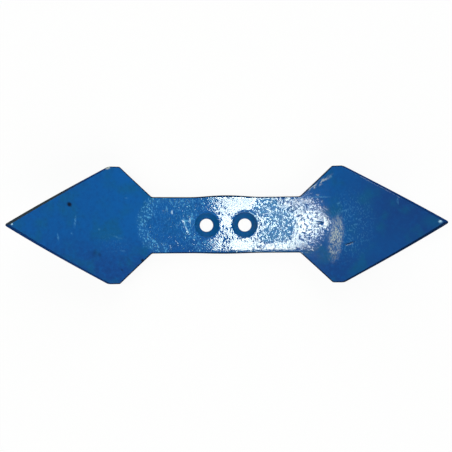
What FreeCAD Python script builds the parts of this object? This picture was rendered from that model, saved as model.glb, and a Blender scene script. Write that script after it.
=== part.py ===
import FreeCAD, Part
import os
from math import acos, atan2, cos, hypot, pi, radians, sin, sqrt, tan

# Double heart share: one evenly bent steel plate with a heart-shaped blade at each end of a
# narrow neck, and two countersunk bolt holes in the middle of the neck. Its back is dressed
# flat round the holes, where it sits on the tine.
# The origin is the middle of that flat seat. +X runs along the share, +Y across it and +Z from
# the back to the hollow front. All lengths are in millimetres. Lengths along the share are
# measured on the front face of the flat blank, before it is bent.

# Plate, bend and seat
plate_thickness = 8.0
bend_radius = 330.0            # of the hollow front face
seat_length = 56.0             # dressed flat on the back, along the share

# Outline of the blank
share_length = 474.0           # point to point
blade_length = 113.0           # outer end of the shoulder to the point
shoulder_length = 11.0         # straight shoulder between the cutting edge and the back edge
blade_width = 122.3
neck_length = 157.0            # root to root
neck_width = 59.4
swell_length = 76.0            # the punched neck bulges beside the holes
far_swell = 1.9                # by this on its +Y side
near_swell = 0.75              # and by this on its -Y side

# Rounded corners of the blank
point_radius = 2.0
outer_shoulder_radius = 5.0
inner_shoulder_radius = 3.0
root_radius = 3.5

# Rounded rim, all round both faces
rim_radius = 1.0
rim_facets = 2

# Bolt holes for countersunk M12 bolts
hole_spacing = 40.0
hole_diameter = 14.0
sink_diameter = 25.0           # of the cone at the front face, without its lip
sink_angle = 90.0
sink_lip_radius = 2.5

Vector = FreeCAD.Vector
FlatPoint = FreeCAD.Base.Vector2d

# Worked out from the sizes above
neck_half = neck_width / 2
blade_half = blade_width / 2
point_at = share_length / 2
outer_shoulder_at = point_at - blade_length
inner_shoulder_at = outer_shoulder_at - shoulder_length
root_at = neck_length / 2
back_radius = bend_radius + plate_thickness
bend_centre_height = sqrt(back_radius ** 2 - (seat_length / 2) ** 2)


def rim_levels():
    """Steps (inset, depth) from the front face, round both rims, to the back face."""
    turns = [radians(90 * step / rim_facets) for step in range(rim_facets + 1)]
    front = [(rim_radius * (1 - sin(turn)), rim_radius * (1 - cos(turn))) for turn in turns]
    back = [(inset, plate_thickness - depth) for inset, depth in reversed(front)]
    return front + back


def blade_corners():
    """Corners (s, w, radius) round the +X blade, from the swell's end to its other end."""
    near_side = [
        (swell_length / 2, -neck_half, 0),
        (root_at, -neck_half, root_radius),
        (inner_shoulder_at, -blade_half, inner_shoulder_radius),
        (outer_shoulder_at, -blade_half, outer_shoulder_radius),
    ]
    far_side = [(s, -w, radius) for s, w, radius in reversed(near_side)]
    return near_side + [(point_at, 0, point_radius)] + far_side


def rounded_path(corners, inset):
    """Straight and round pieces along the corners, moved inwards by the inset."""
    path = []
    start = (corners[0][0], corners[0][1] + inset)
    for before, (s, w, radius), after in zip(corners, corners[1:], corners[2:]):
        length_in = hypot(s - before[0], w - before[1])
        length_out = hypot(after[0] - s, after[1] - w)
        along_in = ((s - before[0]) / length_in, (w - before[1]) / length_in)
        along_out = ((after[0] - s) / length_out, (after[1] - w) / length_out)
        turn = acos(along_in[0] * along_out[0] + along_in[1] * along_out[1])
        side = 1 if along_in[0] * along_out[1] > along_in[1] * along_out[0] else -1
        setback = radius * tan(turn / 2)
        centre = (s - along_in[0] * setback - side * along_in[1] * radius,
                  w - along_in[1] * setback + side * along_in[0] * radius)
        reach = side * radius - inset
        round_start = (centre[0] + along_in[1] * reach, centre[1] - along_in[0] * reach)
        round_end = (centre[0] + along_out[1] * reach, centre[1] - along_out[0] * reach)
        path.append(("straight", start, round_start))
        path.append(("round", centre, abs(reach), round_start, round_end, side))
        start = round_end
    path.append(("straight", start, (corners[-1][0], corners[-1][1] - inset)))
    return path


def half_turned(piece):
    """The same piece of the outline on the other blade, half a turn about the middle."""
    if piece[0] == "straight":
        return ("straight",) + tuple((-s, -w) for s, w in piece[1:])
    centre, radius, round_start, round_end, side = piece[1:]
    points = [(-s, -w) for s, w in (centre, round_start, round_end)]
    return ("round", points[0], radius, points[1], points[2], side)


def outline(inset):
    """The whole outline of the blank, anticlockwise, moved inwards by the inset."""
    right_blade = rounded_path(blade_corners(), inset)
    left_blade = [half_turned(piece) for piece in right_blade]
    edge_at = neck_half - inset
    swell_half = swell_length / 2
    far_edge = ("swell", (swell_half, edge_at), (-swell_half, edge_at), far_swell)
    near_edge = ("swell", (-swell_half, -edge_at), (swell_half, -edge_at), -near_swell)
    return right_blade + [far_edge] + left_blade + [near_edge]


def bent_edge(piece, surface):
    """One piece of the outline, wrapped on a cylinder about the bend's own axis."""
    def on_surface(s, w):
        return FlatPoint(s / bend_radius, w)
    if piece[0] == "straight":
        ends = [on_surface(s, w) for s, w in piece[1:]]
        return Part.Geom2d.Line2dSegment(*ends).toShape(surface)
    if piece[0] == "swell":
        (s_start, w), (s_end, _), swell = piece[1:]
        crest_share = 3 / 8        # of its middle pole's height that a quartic curve reaches
        rises = [0, 0, swell / crest_share, 0, 0]
        curve = Part.Geom2d.BezierCurve2d()
        curve.setPoles([on_surface(s_start + (s_end - s_start) * step / 4, w + rise)
                        for step, rise in enumerate(rises)])
        return curve.toShape(surface)
    (s, w), radius, round_start, round_end, side = piece[1:]
    ellipse = Part.Geom2d.Ellipse2d(
        on_surface(s, w + radius), on_surface(s - radius, w), on_surface(s, w))
    first, last = [atan2(end[1] - w, end[0] - s) - pi / 2
                   for end in (round_start, round_end)][::side]
    if last < first:
        last += 2 * pi
    return Part.Geom2d.ArcOfEllipse2d(ellipse, first, last).toShape(surface)


def bent_plate():
    """The bent blank, with walls square to its faces and rounded rims."""
    rings = []
    faces = []
    for inset, depth in rim_levels():
        surface = Part.Cylinder()
        surface.Radius = bend_radius + depth
        rings.append([bent_edge(piece, surface) for piece in outline(inset)])
        faces.append(Part.Face(surface, Part.Wire(rings[-1])))
    walls = [Part.makeRuledSurface(upper, lower)
             for ring, next_ring in zip(rings, rings[1:])
             for upper, lower in zip(ring, next_ring)]
    shell = Part.makeShell([faces[0]] + walls + [faces[-1]])
    shell.sewShape()
    plate = Part.Solid(shell)
    axis_turn = FreeCAD.Rotation(Vector(0, 0, -1), Vector(1, 0, 0), Vector(0, -1, 0), "XYZ")
    plate.Placement = FreeCAD.Placement(Vector(0, 0, bend_centre_height), axis_turn)
    return plate


def seat_cutter():
    """What dressing the back flat takes off, below the seat."""
    return Part.makeBox(share_length, share_length, plate_thickness,
                        Vector(-share_length / 2, -share_length / 2, -plate_thickness))


def bolt_hole_cutter(x):
    """A through hole and the cone of its countersink."""
    front_height = bend_centre_height - sqrt(bend_radius ** 2 - x ** 2)
    hole_radius = hole_diameter / 2
    slope = tan(radians(sink_angle / 2))
    cone_bottom = front_height - (sink_diameter / 2 - hole_radius) / slope
    overrun = plate_thickness
    hole = Part.makeCylinder(hole_radius, cone_bottom + 2 * overrun, Vector(x, 0, -overrun))
    cone_height = front_height - cone_bottom + overrun
    cone = Part.makeCone(hole_radius, hole_radius + cone_height * slope, cone_height,
                         Vector(x, 0, cone_bottom))
    return hole.fuse(cone)


def sink_mouths(plate):
    """The edges where the countersinks' cones meet the front face."""
    cones = [face for face in plate.Faces if face.Surface.TypeId == "Part::GeomCone"]
    return [max(cone.Edges, key=lambda edge: edge.BoundBox.ZMin) for cone in cones]


def share():
    """The whole share: the bent plate with its seat, its bolt holes and their lips."""
    plate = bent_plate().cut(seat_cutter())
    for x in (-hole_spacing / 2, hole_spacing / 2):
        plate = plate.cut(bolt_hole_cutter(x))
    return plate.makeFillet(sink_lip_radius, sink_mouths(plate)).Solids[0]


os.makedirs("parts", exist_ok=True)
share().exportStep("parts/double_heart_share.step")
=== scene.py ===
from math import cos, pi, radians, sin, sqrt, tan

import bmesh
import bpy
from mathutils import Euler, Matrix, Vector
from mathutils.noise import noise as ripple


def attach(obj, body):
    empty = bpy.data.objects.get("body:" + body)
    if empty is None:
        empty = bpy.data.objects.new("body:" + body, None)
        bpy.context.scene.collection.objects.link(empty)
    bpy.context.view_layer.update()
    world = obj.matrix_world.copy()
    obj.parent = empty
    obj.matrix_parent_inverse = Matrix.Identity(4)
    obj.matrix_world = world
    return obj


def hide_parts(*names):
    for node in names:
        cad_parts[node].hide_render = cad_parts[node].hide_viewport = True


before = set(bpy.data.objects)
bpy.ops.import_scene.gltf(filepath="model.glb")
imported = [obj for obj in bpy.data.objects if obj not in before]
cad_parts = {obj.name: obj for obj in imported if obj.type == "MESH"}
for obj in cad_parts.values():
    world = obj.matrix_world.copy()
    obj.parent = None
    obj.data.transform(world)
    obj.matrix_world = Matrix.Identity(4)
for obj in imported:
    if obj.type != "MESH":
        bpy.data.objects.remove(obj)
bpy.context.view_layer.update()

bl_info = {
    "name": "Double Heart Share",
    "version": (1, 0, 0),
    "blender": (4, 5, 0),
    "location": "View3D > Sidebar > Share",
    "description": "A blue painted double heart share on a pale studio floor",
    "category": "Mesh",
}

MM = 0.001
NODE = "double_heart_share"

# Two places closer than this, in metres, are taken as one
TOUCH = 1e-6

# From the share's middle to each bolt hole's, in millimetres
HOLE_AT = 20.0

# The steepest slopes, in degrees, of the plain front face, of the front with its
# countersinks, and of the front with its rims
PLAIN_FRONT = 26
WITH_SINKS = 65
WITH_RIMS = 75

# How high the lamps hang, in metres
LAMP_HEIGHT = 2.0


def length(name, description, millimetres):
    """A size of the share, shown in the sidebar in the scene's unit of length."""
    return bpy.props.FloatProperty(
        name=name, description=description, default=millimetres * MM, min=0.0,
        unit="LENGTH", subtype="DISTANCE", precision=5)


def colour(name, description, red, green, blue):
    """A colour of the share, in linear light."""
    return bpy.props.FloatVectorProperty(
        name=name, description=description, default=(red, green, blue), min=0.0, max=1.0,
        size=3, subtype="COLOR")


class ShareSizes(bpy.types.PropertyGroup):
    """Sizes of the steel share, measured on the front face before it is bent."""

    thickness: length("Thickness", "Thickness of the steel plate", 8.0)
    bend_radius: length("Bend radius", "Radius of the hollow front face", 330.0)
    seat_length: length("Seat length", "Flat stretch dressed on the back", 56.0)
    share_length: length("Share length", "From point to point", 474.0)
    blade_length: length("Blade length", "From a point to its shoulder", 113.0)
    shoulder_length: length("Shoulder length", "Straight top of a shoulder", 11.0)
    blade_width: length("Blade width", "Across a blade's shoulders", 122.3)
    neck_length: length("Neck length", "Between the roots of the blades", 157.0)
    neck_width: length("Neck width", "Across the neck", 59.4)
    swell_length: length("Swell length", "Stretch of the neck that bulges beside the holes", 76.0)
    far_swell: length("Far swell", "Bulge of the neck's far edge", 1.9)
    near_swell: length("Near swell", "Bulge of the neck's near edge", 0.75)
    point_radius: length("Point radius", "Rounding of the points", 2.0)
    outer_shoulder_radius: length("Outer shoulder radius", "Rounding at the cutting edge", 5.0)
    inner_shoulder_radius: length("Inner shoulder radius", "Rounding at the back edge", 3.0)
    root_radius: length("Root radius", "Rounding where blade and neck meet", 3.5)
    rim_radius: length("Rim radius", "Rounding of all the edges", 1.0)
    hole_spacing: length("Hole spacing", "Between the two bolt holes", 40.0)
    hole_diameter: length("Hole diameter", "Of the painted bolt holes", 13.7)
    sink_diameter: length("Countersink diameter", "At the front face, without its lip", 25.0)
    sink_lip_radius: length("Countersink lip", "Rounding of the countersinks' lips", 2.5)
    facet: length("Facet", "Size of the mesh's facets", 1.0)
    forge_waves: length("Forge waves", "Length of the waves in the forged neck", 7.0)
    forge_depth: length("Forge depth", "Height of the waves in the forged neck", 0.03)
    hollow_depth: length("Hollow depth", "Depth of the worn hollow along the neck", 0.35)
    crown_height: length("Crown height", "Fall of the right blade's root to its sides", 0.25)
    dish_depth: length("Dish depth", "Depth of the hammered dish beside the right hole", 0.10)
    spot_depth: length("Spot depth", "Depth of the bevel beside the right countersink", 1.30)
    mark_depth: length("Mark depth", "Depth of the gouges and height of the beads", 0.30)


class ShareColours(bpy.types.PropertyGroup):
    """Colours of the paint, its marks, the bare scale and the dust, and of the painted shade,
    sheen, highlights and reflections.
    """

    paint: colour("Paint", "Gloss blue paint", 0.003, 0.091, 0.338)
    bright_paint: colour("Bright paint", "Thin paint on the forged neck", 0.003, 0.108, 0.395)
    deep_paint: colour("Deep paint", "Thick violet-blue paint on the right blade",
                       0.007, 0.054, 0.236)
    # The teal paint is also the painted teal sheen round both points.
    teal_paint_and_sheen: colour("Teal paint", "Where two coats of paint mix", 0.004, 0.100, 0.250)
    # The dark paint is also the painted shade on the rims and in the countersinks.
    dark_paint_and_shade: colour("Edge paint", "Dark paint run off the edges", 0.004, 0.012, 0.030)
    slate: colour("Slate", "Dull scale on the left cutting edge", 0.030, 0.044, 0.058)
    # The dust colour is also the painted reflection of a tan object on the right blade.
    dust_and_reflection: colour("Dust", "Pale dust on the scuffed paint", 0.490, 0.550, 0.500)
    # The scratch colour is also used for painted glints and for the painted sheen in the dish.
    scratch_and_glint: colour("Scratch", "Light scratches in the paint", 0.095, 0.385, 0.700)
    # The pale bead colour is a painted highlight on the beads at the points and by the holes.
    bead_highlight: colour("Bead", "Pale paint beads at the points and by the holes", 0.450, 0.760, 1.000)
    pit: colour("Pit", "Dark pits through the paint", 0.003, 0.010, 0.030)


def only(piece):
    """Makes a piece the one selected and active object."""
    bpy.ops.object.select_all(action="DESELECT")
    piece.select_set(True)
    bpy.context.view_layer.objects.active = piece


def pick(piece, kind, wanted):
    """In edit mode, selects the vertices, edges or faces for which wanted() is true."""
    bpy.ops.mesh.select_mode(type=kind)
    bpy.ops.mesh.select_all(action="DESELECT")
    mesh = bmesh.from_edit_mesh(piece.data)
    found = 0
    for item in {"VERT": mesh.verts, "EDGE": mesh.edges, "FACE": mesh.faces}[kind]:
        if wanted(item):
            item.select_set(True)
            found += 1
    if not found:
        raise RuntimeError(f"nothing to select on {piece.name}")
    mesh.select_flush_mode()
    bmesh.update_edit_mesh(piece.data)


def outline_stations(sizes):
    """Stations (s, near w, far w) along the blank's outline, from point to point."""
    point_at = sizes.share_length / 2
    outer_at = point_at - sizes.blade_length
    inner_at = outer_at - sizes.shoulder_length
    root_at = sizes.neck_length / 2
    blade_half = sizes.blade_width / 2
    neck_half = sizes.neck_width / 2
    swell_half = sizes.swell_length / 2
    half = [(point_at, 0.0, 0.0), (outer_at, -blade_half, blade_half),
            (inner_at, -blade_half, blade_half), (root_at, -neck_half, neck_half)]
    swell = []
    steps = 12
    for step in range(steps + 1):
        way = step / steps
        rise = 16 * way ** 2 * (1 - way) ** 2
        swell.append((swell_half * (2 * way - 1), -neck_half - sizes.near_swell * rise,
                      neck_half + sizes.far_swell * rise))
    left = [(-s, near, far) for s, near, far in half]
    return left + swell + half[::-1]


def cut_blank(sizes):
    """The flat blank: a strip drawn from station to station, then given its thickness."""
    stations = outline_stations(sizes)
    (point_s, _, _), (shoulder_s, near, far) = stations[:2]
    middle = (point_s + shoulder_s) / 2
    bpy.ops.object.select_all(action="DESELECT")
    bpy.ops.mesh.primitive_plane_add(size=1, location=(middle, 0, 0))
    blank = bpy.context.object
    blank.name = "share"
    blank.scale = (shoulder_s - point_s, far - near, 1)
    bpy.ops.object.transform_apply(location=True, rotation=True, scale=True)
    bpy.ops.object.mode_set(mode="EDIT")
    pick(blank, "VERT", lambda vertex: vertex.co.x < middle)
    bpy.ops.mesh.merge(type="CENTER")
    pick(blank, "VERT", lambda vertex: vertex.co.x > middle)
    for (old_s, old_near, old_far), (s, near, far) in zip(stations[1:], stations[2:]):
        old_middle = (old_near + old_far) / 2
        widening = max((far - near) / (old_far - old_near), TOUCH)
        bpy.ops.mesh.extrude_region_move(TRANSFORM_OT_translate={"value": (s - old_s, 0, 0)})
        bpy.ops.transform.resize(value=(1, widening, 1), center_override=(s, old_middle, 0))
        bpy.ops.transform.translate(value=(0, (near + far) / 2 - old_middle, 0))
    bpy.ops.mesh.merge(type="CENTER")
    bpy.ops.mesh.select_all(action="SELECT")
    bpy.ops.mesh.dissolve_limited(angle_limit=radians(0.1))
    bpy.ops.mesh.select_all(action="SELECT")
    bpy.ops.mesh.extrude_region_move(
        TRANSFORM_OT_translate={"value": (0, 0, -sizes.thickness)})
    bpy.ops.mesh.select_all(action="SELECT")
    bpy.ops.mesh.normals_make_consistent(inside=False)
    bpy.ops.object.mode_set(mode="OBJECT")
    return blank


def round_corners(blank, sizes):
    """Rounds the blank's upright corners, then all the edges of both faces."""
    half = [Vector((s, far)) for s, _, far in outline_stations(sizes)[-5:]]
    corners = list(zip(half, half[1:], half[2:]))
    corners.append((half[3], half[4], Vector((half[3].x, -half[3].y))))
    radii = (sizes.root_radius, sizes.inner_shoulder_radius, sizes.outer_shoulder_radius,
             sizes.point_radius)
    bpy.ops.object.mode_set(mode="EDIT")
    for (before, corner, after), radius in zip(corners, radii):
        turn = (corner - before).angle(after - corner)

        def stands_there(edge):
            """An upright edge at this corner, or at its likeness on the other sides."""
            return all((Vector((abs(end.co.x), abs(end.co.y))) - corner).length < 10 * TOUCH
                       for end in edge.verts) and edge.calc_length() > sizes.rim_radius
        pick(blank, "EDGE", stands_there)
        bpy.ops.mesh.bevel(offset=radius * tan(turn / 2), offset_type="OFFSET", segments=4,
                           profile=0.5, affect="EDGES")
    pick(blank, "EDGE", lambda edge: abs(edge.verts[0].co.z - edge.verts[1].co.z) < TOUCH)
    bpy.ops.mesh.bevel(offset=sizes.rim_radius, offset_type="OFFSET", segments=3,
                       profile=0.5, affect="EDGES")
    bpy.ops.object.mode_set(mode="OBJECT")


def sink_profile(sizes):
    """Rings (radius, height) of a countersunk hole, from below the back to above its lip."""
    hole = sizes.hole_diameter / 2
    sink = sizes.sink_diameter / 2
    lip = sizes.sink_lip_radius
    cone_turn = pi / 4
    setback = lip * tan(cone_turn / 2)
    overrun = 2 * MM
    rings = [(hole, -sizes.thickness - overrun), (hole, hole - sink)]
    steps = 5
    for step in range(steps + 1):
        turn = cone_turn * (1 - step / steps)
        rings.append((sink + setback - lip * sin(turn), lip * (cos(turn) - 1)))
    return rings + [(rings[-1][0], overrun)]


def sink_hole(blank, sizes, s):
    """Cuts one countersunk bolt hole at a place along the blank."""
    rings = sink_profile(sizes)
    radius, height = rings[0]
    bpy.ops.object.select_all(action="DESELECT")
    bpy.ops.mesh.primitive_circle_add(vertices=96, radius=radius, location=(s, 0, height),
                                      fill_type="NGON")
    cutter = bpy.context.object
    bpy.ops.object.transform_apply(location=True)
    bpy.ops.object.mode_set(mode="EDIT")
    bpy.ops.mesh.select_all(action="SELECT")
    for (old_radius, old_height), (radius, height) in zip(rings, rings[1:]):
        bpy.ops.mesh.extrude_region_move(
            TRANSFORM_OT_translate={"value": (0, 0, height - old_height)})
        bpy.ops.transform.resize(value=(radius / old_radius, radius / old_radius, 1),
                                 center_override=(s, 0, height))
    bpy.ops.mesh.select_all(action="SELECT")
    bpy.ops.mesh.normals_make_consistent(inside=False)
    bpy.ops.object.mode_set(mode="OBJECT")
    only(blank)
    cut = blank.modifiers.new("bolt hole", "BOOLEAN")
    cut.operation = "DIFFERENCE"
    cut.solver = "EXACT"
    cut.object = cutter
    bpy.ops.object.modifier_apply(modifier=cut.name)
    bpy.data.objects.remove(cutter)


def slice_fine(blank, sizes):
    """Slices the whole blank both ways into small facets, for the bend and the relief."""
    only(blank)
    bpy.ops.object.mode_set(mode="EDIT")
    for axis, extent in ((Vector((1, 0, 0)), sizes.share_length),
                         (Vector((0, 1, 0)), sizes.blade_width)):
        slices = int(extent / sizes.facet)
        for index in range(slices):
            place = (index + 0.5 - slices / 2) * sizes.facet
            bpy.ops.mesh.select_all(action="SELECT")
            bpy.ops.mesh.bisect(plane_co=place * axis, plane_no=axis)
    bpy.ops.object.mode_set(mode="OBJECT")


def bend(blank, sizes):
    """Bends the blank evenly, hollow side up, and sets the middle of its seat at zero."""
    only(blank)
    blank.rotation_euler.x = -pi / 2
    bpy.ops.object.transform_apply(rotation=True)
    bow = blank.modifiers.new("bend", "SIMPLE_DEFORM")
    bow.deform_method = "BEND"
    bow.deform_axis = "Z"
    bow.angle = blank.dimensions.x / sizes.bend_radius
    bpy.ops.object.modifier_apply(modifier=bow.name)
    blank.rotation_euler.x = pi / 2
    back_radius = sizes.bend_radius + sizes.thickness
    blank.location.z = sqrt(back_radius ** 2 - (sizes.seat_length / 2) ** 2) - sizes.bend_radius
    bpy.ops.object.transform_apply(location=True, rotation=True)


def dress_seat(share, sizes):
    """Takes the bulge off the back, so that the share lies flat on its tine."""
    bpy.ops.object.select_all(action="DESELECT")
    bpy.ops.mesh.primitive_cube_add(size=1, location=(0, 0, -sizes.thickness / 2))
    cutter = bpy.context.object
    cutter.scale = (2 * sizes.seat_length, 2 * sizes.seat_length, sizes.thickness)
    bpy.ops.object.transform_apply(location=True, scale=True)
    only(share)
    cut = share.modifiers.new("seat", "BOOLEAN")
    cut.operation = "DIFFERENCE"
    cut.solver = "EXACT"
    cut.object = cutter
    bpy.ops.object.modifier_apply(modifier=cut.name)
    bpy.data.objects.remove(cutter)


def smooth(low, high, value):
    """Rises smoothly from 0 at low to 1 at high."""
    way = min(max((value - low) / (high - low), 0.0), 1.0)
    return way * way * (3 - 2 * way)


def front_places(share, sizes, steepest):
    """The vertices of the front that slope less than an angle, with places (x, y) in mm."""
    places = []
    for vertex in share.data.vertices:
        across = vertex.co.x / sizes.bend_radius
        facing = vertex.normal.z * sqrt(1 - across ** 2) - vertex.normal.x * across
        if facing > cos(radians(steepest)):
            places.append((vertex.index, vertex.co.x / MM, vertex.co.y / MM))
    return places


def weigh(share, places, name, weight):
    """Weights on the front face, as a vertex group and as an attribute for the paint."""
    group = share.vertex_groups.new(name=name + " weight")
    values = [0.0] * len(share.data.vertices)
    for index, x, y in places:
        amount = weight(x, y)
        if amount > 0:
            group.add([index], amount, "REPLACE")
            values[index] = amount
    attribute = share.data.attributes.new(name, "FLOAT", "POINT")
    attribute.data.foreach_set("value", values)
    return name


def push(share, name, height, texture=None):
    """Moves the weighted front face out by a height, or in waves of that height."""
    only(share)
    relief = share.modifiers.new(name, "DISPLACE")
    relief.vertex_group = name + " weight"
    relief.strength = height
    relief.mid_level = 0.5 if texture else 0.0
    if texture:
        relief.texture = texture
        relief.texture_coords = "LOCAL"
    bpy.ops.object.modifier_apply(modifier=relief.name)


def on_ovals(ovals, soft):
    """How far inside one of the ovals (x, y, reach x, reach y, turn) a place lies, 0 to 1."""
    turned = [(x, y, reach_x, reach_y, cos(radians(turn)), sin(radians(turn)))
              for x, y, reach_x, reach_y, turn in ovals]

    def weight(x, y):
        """The weight of one place."""
        best = 0.0
        for centre_x, centre_y, reach_x, reach_y, cosine, sine in turned:
            off_x, off_y = x - centre_x, y - centre_y
            if abs(off_x) + abs(off_y) > 3 * (reach_x + reach_y):
                continue
            reach = sqrt(((off_x * cosine + off_y * sine) / reach_x) ** 2
                         + ((off_y * cosine - off_x * sine) / reach_y) ** 2)
            best = max(best, 1 - smooth(1 - soft, 1 + soft, reach))
        return best
    return weight


# Patches and marks of the front face, as ovals (x, y, reach x, reach y, turn in degrees), in
# millimetres, each kind with the softness of its rim. The skin is rubbed smooth in CALM, partly
# smooth in FAIR and coarser in COARSE. The glint streaks, the ring, the arcs and the spray carry
# pale specks of painted highlight, and the arcs also roughen the skin. The halo carries a painted
# teal sheen round the beads at both points.
CALM = on_ovals(((14, 22, 21, 9, 4), (15, -21, 15, 6.5, 0), (1, 5, 5, 8, -10)), 0.4)
FAIR = on_ovals(((60, -21.5, 27, 6, 6), (40.5, 4, 4.5, 9, 0), (47, 15, 9, 5, -15)), 0.6)
COARSE = on_ovals(((2, -11, 8, 8, 0), (-12, 21, 8, 9, 0), (70, 20, 20, 7, -8),
                   (97, -14, 13, 8, 25), (98, 17, 13, 7, -30)), 0.5)
DISH = on_ovals(((57, 1, 17, 19, 0), (43, 19, 14, 10, 0), (45, -12, 10, 7, 0)), 0.3)
# Pale specks of painted highlight.
GLINT_STREAKS = on_ovals(((-37, 0, 12, 18, 0), (-18, 24, 12, 8, 0), (-20, -22, 14, 7, 0),
                  (-45, 22, 14, 8, 0)), 0.6)
GLINT_RING = on_ovals(((-82, 13, 12, 6, 40), (-72, -21, 12, 5, -35)), 0.6)
ARCS = on_ovals(((127, -3, 19, 29, -10),), 0.7)
GLINT_SPRAY = on_ovals(((-116, -20, 14, 9, -20),), 0.8)
# Light scratches, partly painted glints.
SCRATCHES_AND_GLINTS = on_ovals((
    (97.0, 28.8, 11.0, 0.6, 0), (86.0, 28.9, 1.2, 1.0, 0),
    (109.5, 49.8, 1.3, 1.1, 0), (123.2, 13.6, 4.4, 0.6, 14), (117.3, 21.5, 1.6, 0.8, 20),
    (174.5, 22.6, 0.7, 3.0, 0), (-155.4, 3.5, 0.8, 5.5, -6), (-171.5, -12.3, 0.7, 3.4, 5),
    (-158.5, -8.4, 0.9, 0.9, 0), (-131.9, -4.2, 0.9, 0.9, 0), (-113.4, -12.5, 4.5, 0.7, -20),
    (-108.4, -26.6, 2.2, 0.8, 0), (-43.0, 3.0, 0.8, 4.0, 14), (-38.5, -8.5, 1.1, 1.0, 0),
    (-36.5, 8.0, 0.8, 3.0, 0), (-34.0, -13.0, 0.7, 2.6, -20), (-62.5, 17.5, 0.8, 2.6, 10),
    (-52.0, -1.0, 0.7, 1.8, 0), (-58.0, 25.0, 0.7, 3.0, 24), (-104.0, 28.4, 1.8, 0.7, 0),
), 0.5)
GOUGES = on_ovals((
    (99.0, 1.7, 2.8, 0.6, 4), (127.9, -20.3, 5.2, 0.6, 20), (-160.7, 21.3, 2.0, 2.3, 30),
    (-109.0, -46.6, 0.9, 0.9, 0), (-87.9, -36.6, 1.6, 1.2, 45),
), 0.4)
# The smear and the scuff on the right blade are painted reflections of a tan object.
REFLECTION_SMEAR = on_ovals(((114.5, -15, 5.5, 18, -8),), 0.7)
REFLECTION_SCUFF = on_ovals(((97.5, 42.5, 11.5, 1.8, 34),), 0.8)
CHIP = on_ovals(((-123.2, 59.9, 2.4, 1.4, 15),), 0.4)
# Beads at both points and by the holes: small raised beads with painted highlights.
BEAD_HIGHLIGHTS = on_ovals(((-213.6, 0.8, 0.8, 1.0, 0), (211.9, 0.8, 1.4, 1.1, 20),
                  (27.6, 12.0, 2.4, 0.5, -30), (30.8, 9.5, 2.4, 0.6, -47),
                  (33.2, 6.0, 2.2, 0.5, -64), (-44.2, 3.2, 0.6, 2.6, 12),
                  (-41.9, -3.6, 0.5, 2.8, 28), (-38.2, 4.6, 0.6, 2.2, -6),
                  (-40.3, -7.2, 0.8, 0.8, 0), (-56.8, 13.8, 0.5, 1.8, 5)), 0.5)
SMUDGE = on_ovals(((-136.5, -29, 2.2, 2.8, -20), (-131.5, -30.5, 1.4, 2.0, 0)), 0.9)
# Painted teal sheen round the beads at both points.
HALO_SHEEN = on_ovals(((-210, 1, 7, 5, 0), (207, 1, 9, 6, 0)), 0.8)


def from_neck_axis(x, y):
    """How far a place lies from the middle line of the forged neck, raggedly."""
    beyond = x - min(max(x, -64.0), 79.0)
    ragged = 2.0 * ripple(Vector((x, y, 0)) / 5) + 1.0 * ripple(Vector((y, x, 9)) / 2.5)
    return sqrt(beyond ** 2 + (0.85 * y) ** 2) + ragged


def in_neck(x, y):
    """1 inside the forged neck and its round ends in both blades, falling to 0 outside."""
    return 1 - smooth(21.0, 28.0, from_neck_axis(x, y - 2.0))


def hollow(x, y):
    """The neck's hollow: deepest along its middle, running out before both blades."""
    run_out = (1 - smooth(58, 88, x)) * (1 - smooth(50, 85, -x))
    return (1 - 0.5 * min(abs(y - 2) / 30, 0.95) ** 2) * run_out


def crown(x, y):
    """The low crown across the root of the right blade, which falls sooner on its near side."""
    sooner = 9 * smooth(0, -15, y)
    rise = smooth(85 - sooner, 110 - sooner, x)
    return rise * (1 - smooth(110, 140, x)) * smooth(0, 34, abs(y - 2))


def in_spot(x, y):
    """The worn bevel round the right countersink, deepest at the hole and squared at a corner."""
    off_x, off_y = x - 20.1, y - 0.3
    power = 3.5 if off_x > 0 and off_y > 0 else 2.0
    reach = (abs(off_x / 15.0) ** power + abs(off_y / 15.5) ** power) ** (1 / power)
    return (0.35 + 0.65 * smooth(-7, 1, y)) * (1 - smooth(0.55, 1.0, reach))


def speckled(x, y):
    """How rough the forged skin is: calm where it was rubbed, rough in the dish."""
    from_hole = sqrt((abs(x) - HOLE_AT) ** 2 + y ** 2)
    softer = 5 * smooth(78, 95, x)
    inside = 1 - smooth(21 - softer, 28 + softer, from_neck_axis(x, y - 2))
    rough = inside * (1 - CALM(x, y)) * (1 - 0.75 * FAIR(x, y))
    rough *= smooth(14.5, 17.0, from_hole) * (0.45 + 0.55 * smooth(-38, -20, x))
    rough *= 1 + 0.7 * smooth(78, 92, x) + 0.5 * DISH(x, y) + 0.8 * COARSE(x, y)
    return min(rough + 0.12 * ARCS(x, y), 2.0) / 2


def wavy(x, y):
    """How high the forged waves go: they are rubbed flat where the skin is calm."""
    return in_neck(x, y) * (1 - 0.85 * max(CALM(x, y), FAIR(x, y)))


def scratched_and_glinting(x, y):
    """The light scratches, partly painted glints: full beside the holes, fainter on both blades.
    """
    return SCRATCHES_AND_GLINTS(x, y) * (0.3 if -140 < x < -90 else 0.55 if abs(x) > 80 else 1.0)


def glint_specked(x, y):
    """Pale specks of painted highlight: in the ring round the neck's left end and in streaks
    beside the hole.
    """
    away = from_neck_axis(x, y - 1.0)
    ring = smooth(16, 21, away) * (1 - smooth(26, 31, away)) * smooth(52, 68, -x)
    return max(ring, GLINT_RING(x, y), 0.85 * GLINT_STREAKS(x, y), 0.3 * ARCS(x, y), 0.1 * GLINT_SPRAY(x, y),
               0.18 * in_neck(x, y))


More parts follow.
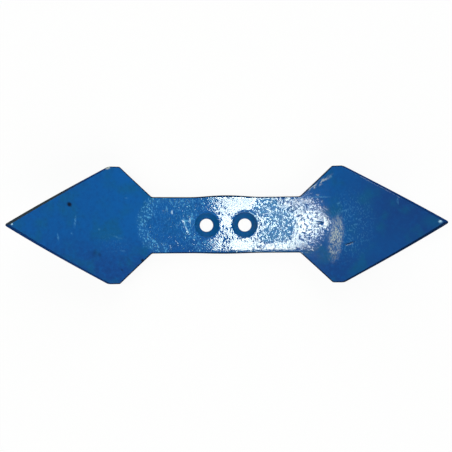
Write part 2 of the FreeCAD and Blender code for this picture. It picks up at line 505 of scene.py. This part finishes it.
def forge_relief(share, sizes):
    """The worn hollow, the hammered dish, the forged waves and the marks of the front face."""
    places = front_places(share, sizes, WITH_RIMS)
    push(share, weigh(share, places, "hollow", hollow), -sizes.hollow_depth)
    push(share, weigh(share, places, "crown", crown), -sizes.crown_height)
    places = front_places(share, sizes, WITH_SINKS)
    push(share, weigh(share, places, "spot", in_spot), -sizes.spot_depth)
    places = front_places(share, sizes, PLAIN_FRONT)
    push(share, weigh(share, places, "dish", DISH), -sizes.dish_depth)
    waves = bpy.data.textures.new("forge waves", "CLOUDS")
    waves.noise_scale = sizes.forge_waves
    waves.noise_depth = 1
    push(share, weigh(share, places, "waves", wavy), sizes.forge_depth, waves)
    push(share, weigh(share, places, "gouge", GOUGES), -sizes.mark_depth)
    sunk_places = front_places(share, sizes, WITH_SINKS)
    push(share, weigh(share, sunk_places, "bead_highlight", BEAD_HIGHLIGHTS), sizes.mark_depth)
    for name, weight in (("neck", in_neck), ("speckle", speckled), ("glint_specks", glint_specked),
                         ("reflection_smear", REFLECTION_SMEAR), ("reflection_scuff", REFLECTION_SCUFF), ("halo_sheen", HALO_SHEEN),
                         ("smudge", SMUDGE)):
        weigh(share, places, name, weight)
    weigh(share, front_places(share, sizes, WITH_SINKS), "scratch_and_glint", scratched_and_glinting)
    weigh(share, front_places(share, sizes, WITH_RIMS), "chip", CHIP)
    share.vertex_groups.clear()


def node(tree, kind, **inputs):
    """A node with its inputs set, or linked where a socket is given."""
    made = tree.nodes.new(kind)
    column, row = len(tree.nodes) % 12, len(tree.nodes) // 12
    made.location = (200 * column, -260 * row)
    for name, value in inputs.items():
        plug(tree, made.inputs[name.replace("_", " ")], value)
    return made


def plug(tree, socket, value):
    """Links another node's output to a socket, or sets the socket's own value."""
    if isinstance(value, bpy.types.NodeSocket):
        tree.links.new(value, socket)
    elif hasattr(value, "__len__") and len(value) == 3 and socket.type == "RGBA":
        socket.default_value = (*value, 1.0)
    else:
        socket.default_value = value


def reckon(tree, operation, *values):
    """The output of a Math node."""
    made = node(tree, "ShaderNodeMath")
    made.operation = operation
    for socket, value in zip(made.inputs, values):
        plug(tree, socket, value)
    return made.outputs[0]


def times(tree, *masks):
    """Several masks or values multiplied together."""
    product = masks[0]
    for mask in masks[1:]:
        product = reckon(tree, "MULTIPLY", product, mask)
    return product


def either(tree, first, second):
    """The stronger of two masks."""
    return reckon(tree, "MAXIMUM", first, second)


def fade(tree, value, low, high, to_low=0.0, to_high=1.0):
    """A value that goes smoothly from one to another between two places."""
    made = node(tree, "ShaderNodeMapRange", Value=value, From_Min=low, From_Max=high,
                To_Min=to_low, To_Max=to_high)
    made.interpolation_type = "SMOOTHSTEP"
    return made.outputs["Result"]


def blend(tree, factor, first, second):
    """Two colours mixed by a mask."""
    made = node(tree, "ShaderNodeMix")
    made.data_type = "RGBA"
    # The colour sockets share their names with the plain ones, so they go by number.
    for socket, value in ((0, factor), (6, first), (7, second)):
        plug(tree, made.inputs[socket], value)
    return made.outputs[2]


def noise(tree, place, wave, detail=2.0, roughness=0.5):
    """Noise between 0 and 1, its waves as long as given in millimetres."""
    made = node(tree, "ShaderNodeTexNoise", Vector=place, Scale=1 / wave, Detail=detail,
                Roughness=roughness)
    return made.outputs["Fac"]


def worn(tree, name):
    """A mark's attribute on the share, between 0 and 1."""
    made = node(tree, "ShaderNodeAttribute")
    made.attribute_name = name
    return made.outputs["Fac"]


def stretched(tree, place, turn, reach):
    """Places on which a pattern runs longer, this many times, along Y turned by an angle."""
    made = node(tree, "ShaderNodeMapping", Vector=place, Rotation=(0.0, 0.0, radians(turn)),
                Scale=(1.0, reach, 1.0))
    made.vector_type = "TEXTURE"
    return made.outputs[0]


def places_in_mm(tree):
    """Places on the share in millimetres, as a vector and as its three parts."""
    made = node(tree, "ShaderNodeVectorMath")
    made.operation = "SCALE"
    plug(tree, made.inputs["Scale"], 1 / MM)
    plug(tree, made.inputs[0], node(tree, "ShaderNodeTexCoord").outputs["Object"])
    place = made.outputs[0]
    return place, node(tree, "ShaderNodeSeparateXYZ", Vector=place).outputs


def emptied(holder):
    """The node tree of a new material or world, with nothing in it yet."""
    holder.use_nodes = True
    holder.node_tree.nodes.clear()
    return holder.node_tree


def show(tree, surface, kind="Material"):
    """Links a shader to the output of its material or world."""
    plug(tree, node(tree, "ShaderNodeOutput" + kind).inputs["Surface"], surface.outputs[0])


def dust_and_reflection_coat():
    """The group that lays the pale dust colour over a colour, for dust and for painted
    reflections, built once for all the materials.
    """
    coat = bpy.data.node_groups.get("dust_and_reflection_coat")
    if coat is None:
        coat = bpy.data.node_groups.new("dust_and_reflection_coat", "ShaderNodeTree")
        for name, kind in (("Amount", "Float"), ("Color", "Color"), ("Dust", "Color")):
            coat.interface.new_socket(name, in_out="INPUT", socket_type="NodeSocket" + kind)
        coat.interface.new_socket("Color", in_out="OUTPUT", socket_type="NodeSocketColor")
        given = node(coat, "NodeGroupInput").outputs
        node(coat, "NodeGroupOutput",
             Color=blend(coat, given["Amount"], given["Color"], given["Dust"]))
    return coat


def with_dust_and_reflection(tree, amount, shade, dust_and_reflection):
    """A colour with the pale dust colour laid over it, for dust and for painted reflections."""
    made = tree.nodes.new("ShaderNodeGroup")
    made.node_tree = dust_and_reflection_coat()
    for name, value in (("Amount", amount), ("Color", shade), ("Dust", dust_and_reflection)):
        plug(tree, made.inputs[name], value)
    return made.outputs["Color"]


def paint_shade(tree, colours, place, at):
    """The paint's colour, drifting over the share, with a painted sheen in the dish and round the
    points, and pale specks of painted highlight.
    """
    neck = worn(tree, "neck")
    near_neck = times(tree, fade(tree, at["X"], -150.0, -95.0), fade(tree, at["X"], 100.0, 60.0))
    thin = either(tree, times(tree, neck, 0.8), times(tree, near_neck, 0.6))
    shade = blend(tree, thin, colours.paint, colours.bright_paint)

    drift = fade(tree, noise(tree, place, 45.0, 1.0), 0.25, 0.7, 0.55, 1.0)
    far_right = times(tree, fade(tree, at["X"], 90.0, 190.0), drift)
    low = times(tree, fade(tree, at["Y"], 0.0, -50.0), 0.8)
    shade = blend(tree, either(tree, far_right, low), shade, colours.deep_paint)

    # Teal tint at random, and a painted teal sheen round the beads at both points.
    teal = times(tree, fade(tree, noise(tree, place, 22.0), 0.45, 0.7, 0.0, 0.7),
                 fade(tree, neck, 0.0, 1.0, 1.0, 0.3))
    shade = blend(tree, either(tree, teal, times(tree, worn(tree, "halo_sheen"), 0.6)),
                  shade, colours.teal_paint_and_sheen)
    # Painted sheen in the dish beside the right hole.
    shade = blend(tree, times(tree, worn(tree, "dish"), 0.45), shade, colours.scratch_and_glint)

    streaks = noise(tree, stretched(tree, place, 10, 1.7), 1.5, 2.0, 0.6)
    shade = blend(tree, times(tree, neck, fade(tree, streaks, 0.5, 0.38, 0.0, 0.35)),
                  shade, colours.deep_paint)
    # Pale specks of painted highlight on the neck and round its left end.
    pale = fade(tree, fade(tree, streaks, 0.54, 0.62), 0.0, 1.0, 0.09, 1.0)
    shade = blend(tree, times(tree, worn(tree, "glint_specks"), pale), shade, colours.scratch_and_glint)

    mottle = noise(tree, place, 4.0, 5.0, 0.65)
    even = fade(tree, at["X"], 90.0, 150.0, 1.0, 0.4)
    shade = blend(tree, times(tree, even, fade(tree, mottle, 0.48, 0.66, 0.0, 0.45)),
                  shade, colours.bright_paint)
    return blend(tree, times(tree, even, fade(tree, mottle, 0.5, 0.34, 0.0, 0.12)),
                 shade, colours.dark_paint_and_shade)


def blue_gloss_paint(colours):
    """Gloss blue paint over forged steel, with its speckle, marks and dust, painted highlights,
    glints, sheen and reflections, and painted shade on its rims.
    """
    paint = bpy.data.materials.new("blue_gloss_paint")
    tree = emptied(paint)
    place, at = places_in_mm(tree)
    tall = stretched(tree, place, 0, 2.0)
    speckle = worn(tree, "speckle")

    # The scratches and glints, and the painted tan reflections on the right blade, are broken up
    # by noise.
    broken = fade(tree, noise(tree, tall, 1.2, 2.0, 0.6), 0.38, 0.66)
    scratch_and_glint = times(tree, worn(tree, "scratch_and_glint"), fade(tree, broken, 0.0, 0.6, 0.3, 1.0))
    # Grain and streaks of the painted tan reflections.
    reflection_grain = fade(tree, noise(tree, tall, 1.1, 2.0, 0.6), 0.4, 0.6, 0.1, 1.1)
    clouds = fade(tree, noise(tree, place, 6.0), 0.38, 0.62, 0.4, 1.0)
    reflection_smear = times(tree, worn(tree, "reflection_smear"), reflection_grain, clouds)
    rubbed = fade(tree, noise(tree, stretched(tree, place, -52, 6.0), 1.6), 0.4, 0.6)
    reflection_scuff = times(tree, worn(tree, "reflection_scuff"), rubbed)
    dark_tip = either(tree, fade(tree, at["X"], 214.5, 217.5), fade(tree, at["X"], -217.0, -218.5))

    # The colour is laid on from the paint up to the painted shade on the rims and the darker
    # points.
    shade = paint_shade(tree, colours, place, at)
    # Light scratches, partly painted glints.
    shade = blend(tree, times(tree, scratch_and_glint, 0.9), shade, colours.scratch_and_glint)
    shade = blend(tree, times(tree, worn(tree, "smudge"), 0.4), shade, colours.dark_paint_and_shade)
    # Painted tan reflections on the right blade, and real dust on the chip.
    shade = with_dust_and_reflection(tree, times(tree, reflection_smear, 0.85), shade, colours.dust_and_reflection)
    shade = with_dust_and_reflection(tree, times(tree, reflection_scuff, 0.5), shade, colours.dust_and_reflection)
    shade = with_dust_and_reflection(tree, worn(tree, "chip"), shade, colours.dust_and_reflection)
    shade = blend(tree, worn(tree, "gouge"), shade, colours.pit)
    # Painted highlights on the beads.
    shade = blend(tree, worn(tree, "bead_highlight"), shade, colours.bead_highlight)
    # Painted shade on the rims, and darker at both points.
    shade = blend(tree, either(tree, worn(tree, "edge"), dark_tip), shade, colours.dark_paint_and_shade)

    # The height, in millimetres: hammered grain on the neck and brushed grain on the right
    # blade, pimples on both, then the slow waves of the paint and the scratches.
    hammered = noise(tree, tall, 2.3, 1.5)
    brushed = noise(tree, stretched(tree, place, -30, 2.2), 1.3, 1.5)
    on_blade = fade(tree, at["X"], 76.0, 92.0)
    grain = node(tree, "ShaderNodeMix", Factor=on_blade, A=hammered, B=brushed).outputs[0]
    grain = reckon(tree, "SUBTRACT", grain, 0.5)
    height = times(tree, grain, reckon(tree, "ADD", times(tree, speckle, 0.066), 0.003))
    pimples = fade(tree, noise(tree, tall, 1.9, 1.0), 0.55, 0.68)
    pimple_height = fade(tree, at["X"], 76.0, 92.0, 0.45, 0.15)
    peel = reckon(tree, "SUBTRACT", noise(tree, place, 9.0, 1.0), 0.5)
    for layer in (times(tree, pimples, speckle, pimple_height), times(tree, peel, 0.02),
                  times(tree, scratch_and_glint, 0.01)):
        height = reckon(tree, "ADD", height, layer)
    bump = node(tree, "ShaderNodeBump", Height=height, Strength=1.0, Distance=MM)

    # The gloss is broken by arcs in the dish, by thin satin on the neck and by the painted tan
    # reflections on the right blade.
    round_hole = node(tree, "ShaderNodeMapping", Vector=place, Location=(-38.0, -2.0, 0.0))
    arcs = node(tree, "ShaderNodeTexWave", Vector=round_hole.outputs[0], Scale=0.07,
                Distortion=14.0, Detail=3.0, Detail_Scale=2.5)
    arcs.wave_type = "RINGS"
    arcs.rings_direction = "Z"
    strokes = fade(tree, arcs.outputs["Fac"], 0.25, 0.75, 0.24, 1.0)
    in_dish = times(tree, worn(tree, "dish"), strokes)
    on_neck = times(tree, worn(tree, "neck"),
                    fade(tree, at["X"], -42.0, -10.0, 0.1, 1.0),
                    fade(tree, speckle, 0.0, 0.4, 0.88, 1.0),
                    fade(tree, at["X"], 88.0, 68.0, 0.17, 0.24))
    dull = either(tree, either(tree, reflection_smear, times(tree, reflection_scuff, 0.5)),
                  either(tree, in_dish, on_neck))
    show(tree, node(tree, "ShaderNodeBsdfPrincipled", Base_Color=shade,
                    Roughness=fade(tree, dull, 0.0, 1.0, 0.05, 0.6),
                    Normal=bump.outputs["Normal"]))
    return paint


def bare_edge(colours):
    """Thin dark paint on the walls round the plate, with bare scale at the left point."""
    scale = bpy.data.materials.new("dark_edge")
    tree = emptied(scale)
    place, at = places_in_mm(tree)
    flakes = fade(tree, noise(tree, place, 3.0, 3.0, 0.6), 0.35, 0.6)
    shade = blend(tree, times(tree, flakes, 0.4), colours.dark_paint_and_shade, colours.pit)
    low_right = times(tree, fade(tree, at["X"], 0.0, 10.0), fade(tree, at["Y"], 1.0, -1.0))
    on_cutting = fade(tree, reckon(tree, "ABSOLUTE", at["X"]), 116.0, 128.0)
    thin = times(tree, on_cutting, reckon(tree, "SUBTRACT", 0.6, times(tree, low_right, 0.4)))
    shade = blend(tree, thin, shade, colours.deep_paint)
    bare = times(tree, fade(tree, at["X"], -140.0, -175.0), fade(tree, at["Y"], -1.0, 1.0))
    shade = blend(tree, bare, shade, colours.slate)
    shade = with_dust_and_reflection(tree, worn(tree, "chip"), shade, colours.dust_and_reflection)
    bump = node(tree, "ShaderNodeBump", Height=flakes, Strength=1.0, Distance=0.1 * MM)
    show(tree, node(tree, "ShaderNodeBsdfPrincipled", Base_Color=shade, Roughness=0.8,
                    Specular_IOR_Level=0.0, Normal=bump.outputs["Normal"]))
    return scale


def sink_paint(colours):
    """Thin satin paint inside the countersinks, with painted shade at the bore and round the lip.
    """
    paint = bpy.data.materials.new("sink_paint")
    tree = emptied(paint)
    place, at = places_in_mm(tree)
    off_x = reckon(tree, "SUBTRACT", reckon(tree, "ABSOLUTE", at["X"]), HOLE_AT)
    reach = reckon(tree, "SQRT", reckon(tree, "ADD", times(tree, off_x, off_x),
                                        times(tree, at["Y"], at["Y"])))
    # Painted shade in rings at the bore and round the lip.
    rings = either(tree, fade(tree, reach, 8.6, 7.4), fade(tree, reach, 11.0, 13.0))
    shade = blend(tree, times(tree, rings, 0.5), colours.teal_paint_and_sheen, colours.dark_paint_and_shade)
    mottle = noise(tree, place, 3.0, 3.0)
    shade = blend(tree, fade(tree, mottle, 0.3, 0.7, 0.2, 0.8), shade, colours.paint)
    show(tree, node(tree, "ShaderNodeBsdfPrincipled", Base_Color=shade, Roughness=0.35,
                    Specular_IOR_Level=0.1))
    return paint


def tilted(sizes, place, normal, least):
    """Whether a normal leans off the bent plate by an angle, away from the bolt holes."""
    across = place.x / sizes.bend_radius
    facing = normal.z * sqrt(1 - across ** 2) - normal.x * across
    beside = abs(place.x) > sizes.hole_spacing or abs(place.y) > 0.8 * sizes.sink_diameter
    return beside and abs(facing) < cos(radians(least))


def in_sink(sizes, place, normal):
    """Whether a place lies on the bore, the cone or the lip of a bolt hole."""
    off = Vector((abs(place.x) - sizes.hole_spacing / 2, place.y)).length
    return off < 0.6 * sizes.sink_diameter and abs(normal.z) < cos(radians(12))


def rim_shade_tilt(place):
    """The least tilt, in degrees, that takes the painted rim shade: less round the neck than at a
    point.
    """
    return 4 if abs(place.x) < 110 * MM else 20


def paint_share(share, sizes, colours):
    """Gives the share its paint, its walls the dark edge, and its rims the mark of their painted
    shade.
    """
    only(share)
    for finish in (blue_gloss_paint, bare_edge, sink_paint):
        share.data.materials.append(finish(colours))
    bpy.ops.object.mode_set(mode="EDIT")
    share.active_material_index = 1
    pick(share, "FACE", lambda face: tilted(sizes, face.calc_center_median(), face.normal, 10))
    bpy.ops.object.material_slot_assign()
    share.active_material_index = 2
    pick(share, "FACE", lambda face: in_sink(sizes, face.calc_center_median(), face.normal))
    bpy.ops.object.material_slot_assign()
    bpy.ops.object.mode_set(mode="OBJECT")
    # Marks the rims that take the painted shade.
    edge = share.data.attributes.new("edge", "FLOAT", "POINT")
    edge.data.foreach_set("value", [
        float(tilted(sizes, vertex.co, vertex.normal, rim_shade_tilt(vertex.co)))
        for vertex in share.data.vertices])


class SHARE_OT_forge(bpy.types.Operator):
    """Makes the bent and painted share"""

    bl_idname = "share.forge"
    bl_label = "Forge the Share"

    def execute(self, context):
        sizes = context.scene.share_sizes
        share = cut_blank(sizes)
        round_corners(share, sizes)
        for s in (-sizes.hole_spacing / 2, sizes.hole_spacing / 2):
            sink_hole(share, sizes, s)
        slice_fine(share, sizes)
        bend(share, sizes)
        dress_seat(share, sizes)
        paint_share(share, sizes, context.scene.share_colours)
        forge_relief(share, sizes)
        only(share)
        bpy.ops.object.shade_smooth_by_angle(angle=radians(35))
        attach(share, "root")
        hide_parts(NODE)
        return {"FINISHED"}


def lamp(name, low_corner, high_corner, aim, radiance, tint=(1.0, 1.0, 1.0)):
    """A rectangular lamp over the share, between two corners (x, y), facing a point below."""
    (low_x, low_y), (high_x, high_y) = low_corner, high_corner
    middle = Vector(((low_x + high_x) / 2, (low_y + high_y) / 2, LAMP_HEIGHT))
    data = bpy.data.lights.new(name, "AREA")
    data.shape = "RECTANGLE"
    data.size = high_x - low_x
    data.size_y = high_y - low_y
    data.energy = radiance * pi * data.size * data.size_y
    data.color = tint
    light = bpy.data.objects.new(name, data)
    bpy.context.scene.collection.objects.link(light)
    light.location = middle
    back = (middle - Vector(aim)).normalized()
    side = Vector((0, 1, 0)).cross(back).normalized()
    light.rotation_euler = Matrix((side, back.cross(side), back)).transposed().to_euler()


def for_camera(tree, amount, plain, white):
    """A mix of two shaders, in which the camera sees this much of the white one."""
    rays = node(tree, "ShaderNodeLightPath")
    mix = node(tree, "ShaderNodeMixShader",
               Fac=times(tree, rays.outputs["Is Camera Ray"], amount))
    plug(tree, mix.inputs[1], plain.outputs[0])
    plug(tree, mix.inputs[2], white.outputs[0])
    return mix


def studio_world():
    """A dim room round the share, and a white one behind it for the camera."""
    world = bpy.data.worlds.new("studio")
    tree = emptied(world)
    room = node(tree, "ShaderNodeBackground", Color=(1, 1, 1, 1), Strength=0.12)
    white = node(tree, "ShaderNodeBackground", Color=(1, 1, 1, 1), Strength=1.0)
    show(tree, for_camera(tree, 1.0, room, white), "World")
    bpy.context.scene.world = world


def floor_finish():
    """Plain white floor that keeps a faint shadow."""
    finish = bpy.data.materials.new("pale_floor")
    tree = emptied(finish)
    matt = node(tree, "ShaderNodeBsdfDiffuse", Color=(0.95, 0.95, 0.95, 1))
    white = node(tree, "ShaderNodeEmission", Color=(1, 1, 1, 1), Strength=1.0)
    show(tree, for_camera(tree, 0.92, matt, white))
    return finish


def studio_camera():
    """Looks straight down on the hollow face, as the photograph does."""
    data = bpy.data.cameras.new("camera")
    data.lens = 90.11
    data.shift_x = 0.00036
    data.shift_y = -0.00220
    camera = bpy.data.objects.new("camera", data)
    bpy.context.scene.collection.objects.link(camera)
    camera.rotation_mode = "ZYX"
    turn = Euler((radians(1.112), radians(-1.783), radians(-0.360)), "ZYX")
    camera.rotation_euler = turn
    front_middle = Vector((0, 0, 6.838 * MM))
    distance = 1.2
    camera.location = front_middle + turn.to_matrix() @ Vector((0, 0, distance))
    bpy.context.scene.camera = camera


class SHARE_OT_stage(bpy.types.Operator):
    """Makes the floor, the lamps and the camera"""

    bl_idname = "share.stage"
    bl_label = "Set the Stage"

    def execute(self, context):
        bpy.ops.object.select_all(action="DESELECT")
        bpy.ops.mesh.primitive_plane_add(size=8, location=(0, 0, -0.0005))
        floor = bpy.context.object
        floor.name = "floor"
        bpy.ops.object.transform_apply(location=True)
        floor.data.materials.append(floor_finish())
        tint = (0.88, 0.97, 0.84)
        lamp("strip_lamp", (-1.05, 0.003), (0.176, 0.073), (-0.437, 0.038, 0), 51, tint)
        lamp("far_soft_lamp", (-0.7, 1.0), (1.9, 4.0), (0, 0, 0), 2.4)
        lamp("near_soft_lamp", (-0.7, -4.0), (1.9, -1.0), (0, 0, 0), 2.4)
        lamp("left_side_lamp", (-2.3, 0.30), (-1.45, 0.45), (-1.8, 0.35, 0), 8, tint)
        studio_world()
        studio_camera()
        context.scene.view_settings.view_transform = "Standard"
        return {"FINISHED"}


class SHARE_PT_panel(bpy.types.Panel):
    """Lists the sizes, the colours and the steps of making"""

    bl_idname = "SHARE_PT_panel"
    bl_label = "Double Heart Share"
    bl_space_type = "VIEW_3D"
    bl_region_type = "UI"
    bl_category = "Share"

    def draw(self, context):
        for group in (context.scene.share_sizes, context.scene.share_colours):
            column = self.layout.column(align=True)
            for name in group.bl_rna.properties.keys():
                if name not in ("rna_type", "name"):
                    column.prop(group, name)
        for operator in (SHARE_OT_forge, SHARE_OT_stage):
            self.layout.operator(operator.bl_idname)


CLASSES = (ShareSizes, ShareColours, SHARE_OT_forge, SHARE_OT_stage, SHARE_PT_panel)


def register():
    """Adds the classes, and the share's settings to the scene."""
    for made in CLASSES:
        bpy.utils.register_class(made)
    bpy.types.Scene.share_sizes = bpy.props.PointerProperty(type=ShareSizes)
    bpy.types.Scene.share_colours = bpy.props.PointerProperty(type=ShareColours)


def unregister():
    """Takes the settings and the classes away again."""
    del bpy.types.Scene.share_colours
    del bpy.types.Scene.share_sizes
    for made in reversed(CLASSES):
        bpy.utils.unregister_class(made)


def main():
    """Makes the share and its stage."""
    register()
    bpy.ops.share.forge()
    bpy.ops.share.stage()


if __name__ == "__main__":
    main()
